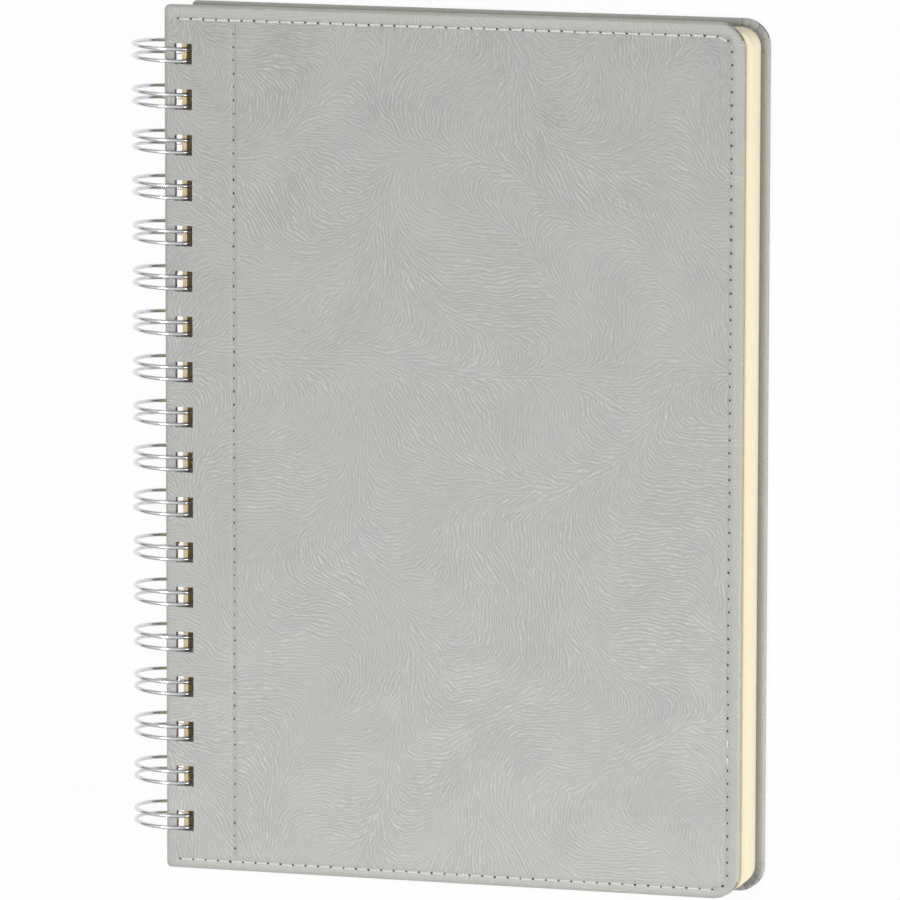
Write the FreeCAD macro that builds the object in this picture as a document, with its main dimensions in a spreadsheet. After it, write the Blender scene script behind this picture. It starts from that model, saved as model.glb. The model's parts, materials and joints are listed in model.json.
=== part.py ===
import FreeCAD, Part
import math
import os
import re

import Sketcher
from FreeCAD import Placement, Rotation, Vector

# Driving sizes of the notebook, in millimetres
SIZES = {
    "cover_height": 243.0,
    "cover_width": 165.0,
    "fore_corner_radius": 7.5,
    "spine_corner_radius": 1.4,
    "edge_roll_radius": 0.9,
    "roll_share": 0.45,
    "leather_thickness": 0.5,
    "board_thickness": 1.2,
    "board_clearance": 0.1,
    "turn_in_width": 15.0,
    "lining_clearance": 0.3,
    "lining_step": 0.1,
    "least_corner_radius": 0.2,
    "page_thickness": 9.8,
    "page_overhang": 2.2,
    "page_setback": 2.7,
    "page_hole_setback": 1.3,
    "page_corner_radius": 5.5,
    "loop_count": 18,
    "loop_pitch": 12.7,
    "twin_spacing": 3.35,
    "wire_diameter": 1.1,
    "front_gap": 1.05,
    "back_gap": 3.85,
    "front_hole_setback": 3.0,
    "back_hole_setback": 2.0,
    "hole_play": 0.42,
    "hole_side_play": 0.65,
    "link_bend_radius": 1.2,
    "link_clearance": 0.35,
    "seam_gap": 0.8,
    "wire_lean": 0.042,
    "lean_centre": 4.2,
    "wire_sides": 5,
    "ring_chords": 16,
    "tip_chords": 3,
    "bend_chords": 2,
    "lift_length": 26.0,
    "seam_head_inset": 3.8,
    "seam_tail_inset": 2.6,
    "seam_fore_inset": 3.4,
    "seam_start": 4.1,
    "seam_column": 20.0,
    "least_seam_bend": 1.0,
    "channel_width": 1.0,
    "channel_depth": 0.2,
}

# Sizes that follow from the driving ones. Heights are measured from the ring axis,
# across the stack, and edges from the ring axis towards the fore-edge.
DERIVED = {
    "wire_radius": "wire_diameter / 2",
    "cover_thickness": "board_thickness + 2 * leather_thickness",
    "edge_roll": "min(edge_roll_radius; roll_share * cover_thickness)",
    "ring_radius": "(front_gap + back_gap + 2 * cover_thickness + page_thickness + wire_diameter) / 2",
    "ring_inside": "ring_radius - wire_radius",
    "ring_outside": "ring_radius + wire_radius",
    "front_outer": "ring_inside - front_gap",
    "front_inner": "front_outer - cover_thickness",
    "back_inner": "front_inner - page_thickness",
    "back_outer": "back_inner - cover_thickness",
    "front_span_start": "sqrt(ring_inside^2 - front_outer^2)",
    "front_span_end": "sqrt(ring_outside^2 - front_inner^2)",
    "page_span_start": "sqrt(ring_inside^2 - max(front_inner; -back_inner)^2)",
    "back_span_start": "sqrt(ring_inside^2 - back_outer^2)",
    "back_span_end": "sqrt(ring_outside^2 - back_inner^2)",
    "widest_span": "max(front_span_end - front_span_start; ring_outside - page_span_start;"
                   " back_span_end - back_span_start)",
    "hole_width": "widest_span + 2 * hole_play",
    "hole_length": "twin_spacing + wire_diameter + 2 * hole_side_play",
    "front_edge": "front_span_end + hole_play - hole_width - front_hole_setback",
    "page_edge": "page_span_start - hole_play - page_hole_setback",
    "back_edge": "back_span_start - hole_play - back_hole_setback",
    "page_height": "cover_height - 2 * page_overhang",
    "page_width": "cover_width - page_setback",
    "binding_length": "(loop_count - 1) * loop_pitch",
    "link_level": "back_inner + link_clearance + wire_radius",
    "lift_height": "wire_diameter + 2 * link_clearance",
}


def expand(text):
    """Return an expression over the sheet's own cells for a text in size names."""
    def cell(match):
        word = match.group(0)
        if word in SIZES:
            return "sizes." + word
        if word in DERIVED:
            return "(" + expand(DERIVED[word]) + ")"
        return word
    return re.sub(r"[a-z_]+", cell, text)


doc = FreeCAD.newDocument("notebook")
sheet = doc.addObject("Spreadsheet::Sheet", "sizes")
for row, (alias, number) in enumerate(SIZES.items(), start=1):
    sheet.set("A%d" % row, alias.replace("_", " "))
    sheet.set("B%d" % row, str(number))
    sheet.setAlias("B%d" % row, alias)
doc.recompute()


def value(text):
    """Work out a text in size names as a plain number."""
    result = sheet.evalExpression(expand(text))
    return float(getattr(result, "Value", result))


def new_body(label):
    """Add an empty body whose label names its file."""
    body = doc.addObject("PartDesign::Body", label)
    body.Label = label
    return body


def origin_plane(body, role):
    """Return one of a body's own origin planes."""
    return next(item for item in body.Origin.OriginFeatures if item.Role == role)


def new_sketch(body, name, level, role="XY_Plane"):
    """Add a sketch on a body's origin plane, raised to a level given in size names."""
    sketch = body.newObject("Sketcher::SketchObject", name)
    sketch.AttachmentSupport = [(origin_plane(body, role), "")]
    sketch.MapMode = "FlatFace"
    sketch.setExpression(".AttachmentOffset.Base.z", expand(level))
    return sketch


def bind(sketch, kind, geometry, text):
    """Add a constraint whose size follows a text in size names."""
    index = sketch.addConstraint(Sketcher.Constraint(kind, *geometry, value(text)))
    sketch.setExpression("Constraints[%d]" % index, expand(text))


def draw_chain(sketch, corners):
    """Draw a closed outline through corners given as (x, y, radius) in size names.

    Each straight runs along X or Y. A corner with a radius is a tangent arc.
    """
    points = [Vector(value(x), value(y), 0) for x, y, _ in corners]
    radii = [value(radius) if radius else 0.0 for _, _, radius in corners]
    count = len(points)

    def leave(index, towards):
        step = points[towards] - points[index]
        return points[index] + step * (radii[index] / step.Length)

    lines = []
    for index in range(count):
        after = (index + 1) % count
        line = Part.LineSegment(leave(index, after), leave(after, index))
        lines.append(sketch.addGeometry(line, False))
    for index in range(count):
        step = points[(index + 1) % count] - points[index]
        along = "Horizontal" if abs(step.x) > abs(step.y) else "Vertical"
        sketch.addConstraint(Sketcher.Constraint(along, lines[index]))
    for index in range(count):
        before, after = lines[index - 1], lines[index]
        if not radii[index]:
            sketch.addConstraint(Sketcher.Constraint("Coincident", before, 2, after, 1))
            continue
        start, end = leave(index, index - 1), leave(index, (index + 1) % count)
        centre = start + end - points[index]
        middle = centre + (points[index] - centre).normalize() * radii[index]
        arc = sketch.addGeometry(Part.Arc(start, middle, end), False)
        turn = (end - points[index]).cross(start - points[index]).z
        first, last = (1, 2) if turn > 0 else (2, 1)
        sketch.addConstraint(Sketcher.Constraint("Tangent", before, 2, arc, first))
        sketch.addConstraint(Sketcher.Constraint("Tangent", arc, last, after, 1))
        bind(sketch, "Radius", (arc,), corners[index][2])
    for index in range(count):
        step = points[(index + 1) % count] - points[index]
        upright = abs(step.y) > abs(step.x)
        text = corners[index][0] if upright else corners[index][1]
        kind = "DistanceX" if upright else "DistanceY"
        if value(text) < 0:
            bind(sketch, kind, (lines[index], 1, -1, 1), "-(" + text + ")")
        else:
            bind(sketch, kind, (-1, 1, lines[index], 1), text)


def plate_corners(edge, width, height, inset, spine_radius, fore_radius):
    """Return the corners of a plate whose spine edge stands at a given distance."""
    left = "%s + %s" % (edge, inset)
    right = "%s + %s - %s" % (edge, width, inset)
    top = "%s / 2 - %s" % (height, inset)
    bottom = "-(%s)" % top
    spine = "max(%s - %s; least_corner_radius)" % (spine_radius, inset)
    fore = "max(%s - %s; least_corner_radius)" % (fore_radius, inset)
    return [
        (left, bottom, spine),
        (right, bottom, fore),
        (right, top, fore),
        (left, top, spine),
    ]


def add_pad(body, sketch, length, downwards):
    """Raise a sketch into a solid, up or down the stack."""
    pad = body.newObject("PartDesign::Pad", body.Label + "_pad")
    pad.Profile = sketch
    pad.Reversed = downwards
    pad.setExpression("Length", expand(length))
    doc.recompute()
    return pad


def add_pocket(body, sketch, depth, upwards):
    """Cut a sketch into its body, up or down the stack, and check that it cut."""
    before = body.Shape.Volume
    pocket = body.newObject("PartDesign::Pocket", sketch.Label + "_cut")
    pocket.Profile = sketch
    pocket.Reversed = upwards
    pocket.setExpression("Length", expand(depth))
    doc.recompute()
    if not body.Shape.Volume < before:
        raise RuntimeError(sketch.Label + " cut nothing")
    return pocket


def punch_holes(body, near, level, depth, upwards):
    """Punch the row of wire holes through a body, from a given distance on."""
    first = "-(binding_length) / 2"
    far = "%s + hole_width" % near
    low = "%s - hole_length / 2" % first
    high = "%s + hole_length / 2" % first
    sketch = new_sketch(body, body.Label + "_hole", level)
    draw_chain(sketch, [(near, low, ""), (far, low, ""), (far, high, ""), (near, high, "")])
    pocket = add_pocket(body, sketch, depth, upwards)
    row = body.newObject("PartDesign::LinearPattern", body.Label + "_hole_row")
    row.Originals = [pocket]
    row.Direction = (sketch, ["V_Axis"])
    row.setExpression("Length", expand("binding_length"))
    row.setExpression("Occurrences", expand("loop_count"))
    body.Tip = row
    doc.recompute()


def seam_channel(edge):
    """Return the outline of the sewn channel along head, fore-edge and tail."""
    start = "%s + seam_start" % edge
    corners = []
    for side, fore, radius in (
        ("- channel_width / 2", "+ channel_width / 2", "+ channel_width / 2"),
        ("+ channel_width / 2", "- channel_width / 2", "- channel_width / 2"),
    ):
        right = "%s + cover_width - seam_fore_inset %s" % (edge, fore)
        low = "-(cover_height / 2 - seam_tail_inset) %s" % side
        high = "cover_height / 2 - seam_head_inset - (0 %s)" % side
        bend = "max(fore_corner_radius - seam_fore_inset; least_seam_bend) %s" % radius
        run = [(start, low, ""), (right, low, bend), (right, high, bend), (start, high, "")]
        corners += run if not corners else run[::-1]
    return corners


def make_cover(name, inner, outer, facing):
    """Build one cover as leather wrap, board and lining. Facing is 1 up, -1 down."""
    up = facing > 0
    edge = name.replace("cover", "edge")
    near_hole = "%s + %s" % (edge, name.replace("cover", "hole_setback"))
    sign = "+" if up else "-"
    board_level = "%s %s leather_thickness" % (inner, sign)

    leather = new_body(name + "_leather")
    outline = new_sketch(leather, name + "_outline", inner)
    draw_chain(outline, plate_corners(edge, "cover_width", "cover_height", "0",
                                      "spine_corner_radius", "fore_corner_radius"))
    pad = add_pad(leather, outline, "cover_thickness", not up)
    rims = ["Edge%d" % (number + 1) for number, rim in enumerate(pad.Shape.Edges)
            if rim.BoundBox.ZLength < rim.Length / 2]
    roll = leather.newObject("PartDesign::Fillet", name + "_roll")
    roll.Base = (pad, rims)
    roll.setExpression("Radius", expand("edge_roll"))
    doc.recompute()

    cavity = new_sketch(leather, name + "_cavity", board_level)
    draw_chain(cavity, plate_corners(edge, "cover_width", "cover_height", "leather_thickness",
                                     "spine_corner_radius", "fore_corner_radius"))
    add_pocket(leather, cavity, "board_thickness", up)
    window = new_sketch(leather, name + "_window", inner)
    draw_chain(window, plate_corners(edge, "cover_width", "cover_height", "turn_in_width",
                                     "spine_corner_radius", "fore_corner_radius"))
    add_pocket(leather, window, "leather_thickness", up)
    punch_holes(leather, near_hole, inner, "cover_thickness", up)

    channel = new_sketch(leather, name + "_channel", outer)
    draw_chain(channel, seam_channel(edge))
    add_pocket(leather, channel, "channel_depth", not up)
    column = new_sketch(leather, name + "_column", outer)
    near = "%s + seam_column - channel_width / 2" % edge
    far = "%s + seam_column + channel_width / 2" % edge
    low = "-(cover_height / 2 - seam_tail_inset)"
    high = "cover_height / 2 - seam_head_inset"
    draw_chain(column, [(near, low, ""), (far, low, ""), (far, high, ""), (near, high, "")])
    add_pocket(leather, column, "channel_depth", not up)

    board = new_body(name + "_board")
    blank = new_sketch(board, name + "_blank", board_level)
    draw_chain(blank, plate_corners(edge, "cover_width", "cover_height",
                                    "(leather_thickness + board_clearance)",
                                    "spine_corner_radius", "fore_corner_radius"))
    add_pad(board, blank, "board_thickness", not up)
    punch_holes(board, near_hole, board_level, "board_thickness", up)

    lining = new_body(name + "_lining")
    sheet_outline = new_sketch(lining, name + "_sheet", "%s %s lining_step" % (inner, sign))
    draw_chain(sheet_outline, plate_corners(edge, "cover_width", "cover_height",
                                            "(turn_in_width + lining_clearance)",
                                            "spine_corner_radius", "fore_corner_radius"))
    add_pad(lining, sheet_outline, "leather_thickness - lining_step", not up)
    return [leather, board, lining]


def make_page_block():
    """Build the punched sheets as one block, the last ones lifted over the wire's links."""
    body = new_body("page_block")
    outline = new_sketch(body, "page_outline", "back_inner")
    draw_chain(outline, plate_corners("page_edge", "page_width", "page_height", "0",
                                      "spine_corner_radius", "page_corner_radius"))
    add_pad(body, outline, "page_thickness", False)

    lift = new_sketch(body, "page_lift", "0", "XZ_Plane")
    corners = [
        ("page_edge", "back_inner"),
        ("page_edge + lift_length", "back_inner"),
        ("page_edge", "back_inner + lift_height"),
    ]
    points = [Vector(value(x), value(z), 0) for x, z in corners]
    for index in range(3):
        lift.addGeometry(Part.LineSegment(points[index], points[(index + 1) % 3]), False)
    for index in range(3):
        lift.addConstraint(Sketcher.Constraint("Coincident", index, 2, (index + 1) % 3, 1))
    for index, (x, z) in enumerate(corners):
        bind(lift, "DistanceX", (-1, 1, index, 1), x)
        if value(z) < 0:
            bind(lift, "DistanceY", (index, 1, -1, 1), "-(%s)" % z)
        else:
            bind(lift, "DistanceY", (-1, 1, index, 1), z)
    cut = add_pocket(body, lift, "cover_height", False)
    cut.Midplane = True
    doc.recompute()
    punch_holes(body, "page_edge + page_hole_setback", "back_inner", "page_thickness", True)
    return body


def arc_points(centre, first, second, turn, chords):
    """Return the ends of equal chords of an arc about a centre, its start left out.

    The arc runs from centre + first towards centre + second, which are square to each
    other and as long as the radius.
    """
    angles = [turn * step / chords for step in range(1, chords + 1)]
    return [centre + first * math.cos(angle) + second * math.sin(angle) for angle in angles]


def wire_route():
    """Return the points of one wire bent through every twin loop, tip and link.

    The loops lean: their covers' side is shifted towards the tail.
    """
    radius = value("ring_radius")
    bend = value("link_bend_radius")
    half_twin = value("twin_spacing / 2")
    link_level = value("link_level")
    tip_level = link_level + value("wire_diameter + seam_gap")
    base = math.asin(link_level / math.hypot(radius, bend)) - math.atan2(bend, radius)
    tip = math.asin(tip_level / math.hypot(radius, half_twin)) + math.atan2(half_twin, radius)
    sweep = 2 * math.pi - (tip - base)
    ring_chords, tip_chords = int(value("ring_chords")), int(value("tip_chords"))
    bend_chords = int(value("bend_chords"))
    along = Vector(0, 1, 0)
    out_base = Vector(math.cos(base), 0, math.sin(base))
    climb_base = Vector(-math.sin(base), 0, math.cos(base))
    out_tip = Vector(math.cos(tip), 0, math.sin(tip))
    climb_tip = Vector(-math.sin(tip), 0, math.cos(tip))
    quarter = math.pi / 2

    points = []
    for number in range(int(value("loop_count"))):
        middle = along * ((number - value("loop_count - 1") / 2) * value("loop_pitch"))
        low = middle - along * half_twin
        high = middle + along * half_twin
        heel = low + out_base * radius - along * bend
        points.append(heel + climb_base * bend)
        points += arc_points(heel, climb_base * bend, along * bend, quarter, bend_chords)
        points += arc_points(low, out_base * radius, climb_base * -radius, sweep, ring_chords)
        nose = middle + out_tip * radius
        points += arc_points(nose, along * -half_twin, climb_tip * -half_twin,
                             math.pi, tip_chords)
        points += arc_points(high, out_tip * radius, climb_tip * radius, sweep, ring_chords)
        heel = high + out_base * radius + along * bend
        points += arc_points(heel, along * -bend, climb_base * bend, quarter, bend_chords)
    lean, centre = value("wire_lean"), value("lean_centre")
    return [point - along * (lean * (point.x + centre)) for point in points]


def mitred_tube(points, radius, sides):
    """Run a many-sided wire through points, with a mitre at each, as one solid."""
    runs = [(after - before).normalize() for before, after in zip(points, points[1:])]
    side = runs[0].cross(Vector(0, 0, 1)).normalize()
    upright = side.cross(runs[0])
    turns = [2 * math.pi * (corner + 0.5) / sides for corner in range(sides)]
    ring = [points[0] + (side * math.cos(turn) + upright * math.sin(turn)) * radius
            for turn in turns]
    rings = [ring]
    for index in range(1, len(points)):
        before = runs[index - 1]
        mitre = before + runs[index] if index < len(runs) else before
        ring = [corner + before * ((points[index] - corner).dot(mitre) / before.dot(mitre))
                for corner in ring]
        rings.append(ring)
    faces = [Part.Face(Part.makePolygon(ring + ring[:1])) for ring in (rings[0], rings[-1])]
    for near, far in zip(rings, rings[1:]):
        for corner in range(sides):
            after = (corner + 1) % sides
            outline = [near[corner], near[after], far[after], far[corner], near[corner]]
            faces.append(Part.Face(Part.makePolygon(outline)))
    shell = Part.makeShell(faces)
    shell.sewShape()
    solid = Part.makeSolid(shell)
    if solid.Volume < 0:
        solid.reverse()
    return solid


def make_wire():
    """Make the binding wire, whose tips close against its links behind the last sheet."""
    feature = doc.addObject("Part::Feature", "binding_wire")
    feature.Label = "binding_wire"
    feature.Shape = mitred_tube(wire_route(), value("wire_radius"), int(value("wire_sides")))
    return feature


def resting_placement():
    """Tip the stack about the ring axis until rings and back cover both touch the table."""
    roll = value("edge_roll")
    reach = value("back_edge + cover_width") - roll
    height = value("back_outer") + roll
    outside = value("ring_outside")
    tilt = math.atan2(height, reach) + math.asin((outside - roll) / math.hypot(reach, height))
    ends = []
    for edge, level in (("front_edge", "front_outer"), ("back_edge", "back_inner")):
        x = value(edge + " + cover_width") - roll
        ends.append(x * math.cos(tilt) + (value(level) - roll) * math.sin(tilt) + roll)
    centre = (max(ends) - outside) / 2
    turn = Rotation(Vector(0, 1, 0), math.degrees(tilt))
    return Placement(Vector(-centre, 0, outside), turn)


pieces = make_cover("front_cover", "front_inner", "front_outer", 1)
pieces += make_cover("back_cover", "back_inner", "back_outer", -1)
pieces.append(make_page_block())
pieces.append(make_wire())
rest = resting_placement()
for piece in pieces:
    piece.Placement = rest
doc.recompute()

for item in doc.Objects:
    if "Invalid" in item.State or "Error" in item.State:
        raise RuntimeError("%s failed: %s" % (item.Label, item.State))
os.makedirs("parts", exist_ok=True)
for piece in pieces:
    shape = piece.Shape
    if shape.isNull() or not shape.isValid():
        raise RuntimeError(piece.Label + " has no sound shape")
    shape.exportStep("parts/%s.step" % piece.Label)
    box = shape.BoundBox
    print("%-22s %9.1f mm3  x %.2f %.2f  y %.2f %.2f  z %.2f %.2f" % (
        piece.Label, shape.Volume, box.XMin, box.XMax, box.YMin, box.YMax, box.ZMin, box.ZMax))
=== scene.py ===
"""Looks of the twin-loop wire-bound notebook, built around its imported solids.

Lengths are in millimetres in the stack frame unless a name says otherwise: u runs from the
ring axis towards the fore-edge, y along the spine towards the head, v out of the front cover.
"""

import json
import logging
import math
import random
from collections.abc import Callable
from dataclasses import dataclass, field
from enum import Enum

import bpy
from mathutils import Matrix, Vector

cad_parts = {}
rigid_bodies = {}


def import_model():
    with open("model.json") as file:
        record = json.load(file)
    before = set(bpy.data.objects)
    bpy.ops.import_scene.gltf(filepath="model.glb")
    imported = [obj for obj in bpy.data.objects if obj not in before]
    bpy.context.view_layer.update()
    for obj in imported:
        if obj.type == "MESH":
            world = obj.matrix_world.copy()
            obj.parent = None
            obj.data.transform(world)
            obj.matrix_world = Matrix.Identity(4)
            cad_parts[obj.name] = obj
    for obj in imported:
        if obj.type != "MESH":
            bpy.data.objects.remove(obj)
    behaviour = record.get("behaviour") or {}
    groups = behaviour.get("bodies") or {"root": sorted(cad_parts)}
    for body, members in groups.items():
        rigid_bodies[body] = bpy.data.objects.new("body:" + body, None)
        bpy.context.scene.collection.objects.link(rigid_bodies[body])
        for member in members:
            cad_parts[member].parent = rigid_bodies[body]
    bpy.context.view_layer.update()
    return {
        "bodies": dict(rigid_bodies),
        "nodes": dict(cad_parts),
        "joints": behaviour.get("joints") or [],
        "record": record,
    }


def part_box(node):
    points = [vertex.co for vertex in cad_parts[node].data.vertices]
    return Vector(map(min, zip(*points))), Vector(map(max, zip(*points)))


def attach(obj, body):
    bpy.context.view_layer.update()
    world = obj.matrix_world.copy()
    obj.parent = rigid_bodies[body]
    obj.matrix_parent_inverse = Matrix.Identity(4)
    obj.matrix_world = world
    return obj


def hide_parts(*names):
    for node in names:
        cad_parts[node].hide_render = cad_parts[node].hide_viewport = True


LOG = logging.getLogger("notebook")
MM = 0.001
Socket = bpy.types.NodeSocket
Source = Socket | float | tuple


@dataclass(frozen=True)
class StackFrame:
    """The frame that the stack was drawn in, before it came to rest on its back cover."""

    origin: Vector
    tilt: float

    @classmethod
    def from_frame(cls, frame: dict) -> "StackFrame":
        """Read the ring axis from the cover hinge and the tilt from the face at rest.


        Returns:
            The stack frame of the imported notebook.
        """
        hinge = next(j for j in frame["joints"] if j["name"] == "front_cover_hinge")
        interfaces = frame["record"].get("interfaces") or frame["record"].get("mounts")
        panel = next(m for m in interfaces if m["name"] == "back_panel")
        return cls(Vector(hinge["pos_m"]), math.atan2(-panel["axis"][0], -panel["axis"][2]))

    def matrix(self) -> Matrix:
        """Return the matrix from stack millimetres to metres in the row frame."""
        turn = Matrix.Rotation(self.tilt, 4, "Y")
        return Matrix.Translation(self.origin) @ turn @ Matrix.Scale(MM, 4)

    def extent(self, node: bpy.types.Object) -> tuple[Vector, Vector]:
        """Measure a CAD node in the stack frame.

        Args:
            node: the CAD node's object.

        Returns:
            Its lowest and highest corner, in millimetres.
        """
        back = self.matrix().inverted()
        corners = [back @ vertex.co for vertex in node.data.vertices]
        low = Vector([min(c[axis] for c in corners) for axis in range(3)])
        high = Vector([max(c[axis] for c in corners) for axis in range(3)])
        return low, high


class Side(Enum):
    """Which cover a piece belongs to; the value is the way that its outside faces."""

    FRONT = 1.0
    BACK = -1.0

    @property
    def body(self) -> str:
        """Return the name of the CAD body that this cover is."""
        return f"{self.name.lower()}_cover"


def deselect() -> None:
    """Leave edit mode and clear the selection."""
    if bpy.context.object and bpy.context.object.mode != "OBJECT":
        bpy.ops.object.mode_set(mode="OBJECT")
    bpy.ops.object.select_all(action="DESELECT")


def pick(piece: bpy.types.Object) -> None:
    """Make a piece the only selected and active one.

    Args:
        piece: the object to select.
    """
    deselect()
    piece.select_set(True)
    bpy.context.view_layer.objects.active = piece


def add_object(operator: Callable, **settings: float | str | tuple) -> bpy.types.Object:
    """Add a new object, with nothing else selected.

    Args:
        operator: the operator that adds it.
        settings: what the operator is told.

    Returns:
        The object.
    """
    deselect()
    operator(**settings)
    return bpy.context.object


def dress(piece: bpy.types.Object, material: bpy.types.Material) -> None:
    """Give a piece one material in place of what it has."""
    piece.data.materials.clear()
    piece.data.materials.append(material)


def settle(piece: bpy.types.Object, name: str, stack: StackFrame,
           material: bpy.types.Material, sharp_deg: float) -> bpy.types.Object:
    """Name, smooth and dress a piece drawn in stack millimetres, in the row frame.

    Args:
        piece: an object whose own matrix is the identity.
        name: its name.
        stack: the frame that its points are in.
        material: its finish.
        sharp_deg: the angle above which its edges stay sharp.

    Returns:
        The same object.
    """
    piece.name = name
    piece.data.name = name
    piece.data.transform(stack.matrix())
    pick(piece)
    bpy.ops.object.shade_smooth_by_angle(angle=math.radians(sharp_deg))
    dress(piece, material)
    return piece


def start_path() -> bpy.types.Object:
    """Add an empty path.

    Returns:
        The path's object, without a spline.
    """
    path = add_object(bpy.ops.curve.primitive_nurbs_path_add, location=(0, 0, 0))
    path.data.splines.clear()
    return path


def thicken(path: bpy.types.Object, radius: float, resolution: int) -> bpy.types.Object:
    """Turn a path into a mesh of round stock.

    Args:
        path: the active object, a path.
        radius: the stock's radius.
        resolution: how finely its section is drawn.

    Returns:
        The mesh's object.
    """
    path.data.bevel_depth = radius
    path.data.bevel_resolution = resolution
    path.data.use_fill_caps = True
    bpy.ops.object.convert(target="MESH")
    return bpy.context.object


def linear(red: int, green: int, blue: int) -> tuple[float, float, float, float]:
    """Turn an eight-bit screen colour into the linear one that a shader takes.

    Args:
        red: the screen's red, from 0 to 255.
        green: its green.
        blue: its blue.

    Returns:
        The linear colour, with full alpha.
    """
    shares = [channel / 255 for channel in (red, green, blue)]
    light = [s / 12.92 if s <= 0.04045 else ((s + 0.055) / 1.055) ** 2.4 for s in shares]
    return (light[0], light[1], light[2], 1.0)


class NodeGraph:
    """A node tree, with short ways to add and join its nodes."""

    def __init__(self, tree: bpy.types.NodeTree) -> None:
        """Take over a tree and empty it."""
        self.tree = tree
        self.tree.nodes.clear()

    def add(self, kind: str, **settings: str | bool) -> bpy.types.Node:
        """Add a node.

        Args:
            kind: the node's type name.
            settings: the node's own properties.

        Returns:
            The node.
        """
        node = self.tree.nodes.new(kind)
        for key, setting in settings.items():
            setattr(node, key, setting)
        return node

    def join(self, source: Socket, target: Socket) -> None:
        """Link an output to an input."""
        self.tree.links.new(source, target)

    def feed(self, target: Socket, source: Source) -> None:
        """Put a number, a colour or another node's output into an input.

        Args:
            target: the input.
            source: what goes into it.
        """
        if isinstance(source, Socket):
            self.join(source, target)
        else:
            target.default_value = source

    def math(self, operation: str, *inputs: Source, clamp: bool = False) -> Socket:
        """Add a Math node.

        Args:
            operation: the node's operation.
            inputs: numbers or outputs for its inputs, in order.
            clamp: whether the result stays within 0 and 1.

        Returns:
            The node's output.
        """
        node = self.add("ShaderNodeMath", operation=operation, use_clamp=clamp)
        for socket, source in zip(node.inputs, inputs):
            self.feed(socket, source)
        return node.outputs[0]

    def vector(self, operation: str, *inputs: Source) -> Socket:
        """Add a Vector Math node.

        Args:
            operation: the node's operation.
            inputs: vectors or outputs for its inputs, in order.

        Returns:
            The node's vector output.
        """
        node = self.add("ShaderNodeVectorMath", operation=operation)
        for socket, source in zip(node.inputs, inputs):
            self.feed(socket, source)
        return node.outputs[0]

    def place(self) -> Socket:
        """Return the Object coordinates."""
        return self.add("ShaderNodeTexCoord").outputs["Object"]

    def place_mm(self) -> Socket:
        """Scale the Object coordinates.

        Returns:
            The coordinates in millimetres.
        """
        node = self.add("ShaderNodeVectorMath", operation="SCALE")
        self.join(self.place(), node.inputs[0])
        node.inputs["Scale"].default_value = 1 / MM
        return node.outputs[0]

    def axis(self, source: Socket, name: str) -> Socket:
        """Take one axis out of a vector.

        Args:
            source: the output with the vector.
            name: X, Y or Z.

        Returns:
            That axis as a number.
        """
        node = self.add("ShaderNodeSeparateXYZ")
        self.join(source, node.inputs[0])
        return node.outputs[name]

    def noise(self, coordinates: Source, scale: float, detail: float = 2.0,
              output: str = "Fac") -> Socket:
        """Add a Noise Texture.

        Args:
            coordinates: the output that it reads its place from.
            scale: features per unit of the coordinates.
            detail: octaves.
            output: the output that is wanted, Fac or Color.

        Returns:
            That output.
        """
        node = self.add("ShaderNodeTexNoise")
        self.feed(node.inputs["Vector"], coordinates)
        node.inputs["Scale"].default_value = scale
        node.inputs["Detail"].default_value = detail
        return node.outputs[output]

    def waves(self, coordinates: Source, period: float, sway: float, bends: float) -> Socket:
        """Add a Wave Texture of ridges that run along X.

        Args:
            coordinates: the output that it reads its place from.
            period: the distance from ridge to ridge.
            sway: how far the ridges wander, in radians of the wave.
            bends: how often they turn, against the wave's own scale.

        Returns:
            A height from 0 to 1.
        """
        node = self.add("ShaderNodeTexWave", bands_direction="Y", wave_profile="SIN")
        self.feed(node.inputs["Vector"], coordinates)
        node.inputs["Scale"].default_value = math.pi / 10 / period
        node.inputs["Distortion"].default_value = sway
        node.inputs["Detail"].default_value = 2.0
        node.inputs["Detail Scale"].default_value = bends
        return node.outputs["Fac"]

    def spread(self, source: Source, low: float, high: float, to_low: float,
               to_high: Source, smooth: bool = False) -> Socket:
        """Map a range of numbers to another one, held at its ends.

        Args:
            source: the output to map.
            low: the start of the range read.
            high: the end of the range read.
            to_low: what low becomes.
            to_high: what high becomes.
            smooth: whether it eases in and out.

        Returns:
            The mapped output.
        """
        node = self.add("ShaderNodeMapRange", clamp=True)
        node.interpolation_type = "SMOOTHSTEP" if smooth else "LINEAR"
        for socket, setting in zip(node.inputs, (source, low, high, to_low, to_high)):
            self.feed(socket, setting)
        return node.outputs[0]

    def blend(self, share: Source, first: Source, second: Source, kind: str = "MIX") -> Socket:
        """Mix two colours.

        Args:
            share: the part that the second takes.
            first: the colour at share 0.
            second: the colour at share 1.
            kind: the mix's blend type.

        Returns:
            The mixed colour.
        """
        node = self.add("ShaderNodeMix", data_type="RGBA", blend_type=kind)
        self.feed(node.inputs[0], share)
        self.feed(node.inputs[6], first)
        self.feed(node.inputs[7], second)
        return node.outputs[2]

    def seen_straight(self) -> Socket:
        """Tell rays that see the background itself from those that light the notebook.

        Returns:
            1 for a ray from the camera or through glass, and 0 for any other.
        """
        rays = self.add("ShaderNodeLightPath")
        return self.math("MAXIMUM", rays.outputs["Is Camera Ray"],
                         rays.outputs["Is Transmission Ray"])


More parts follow.
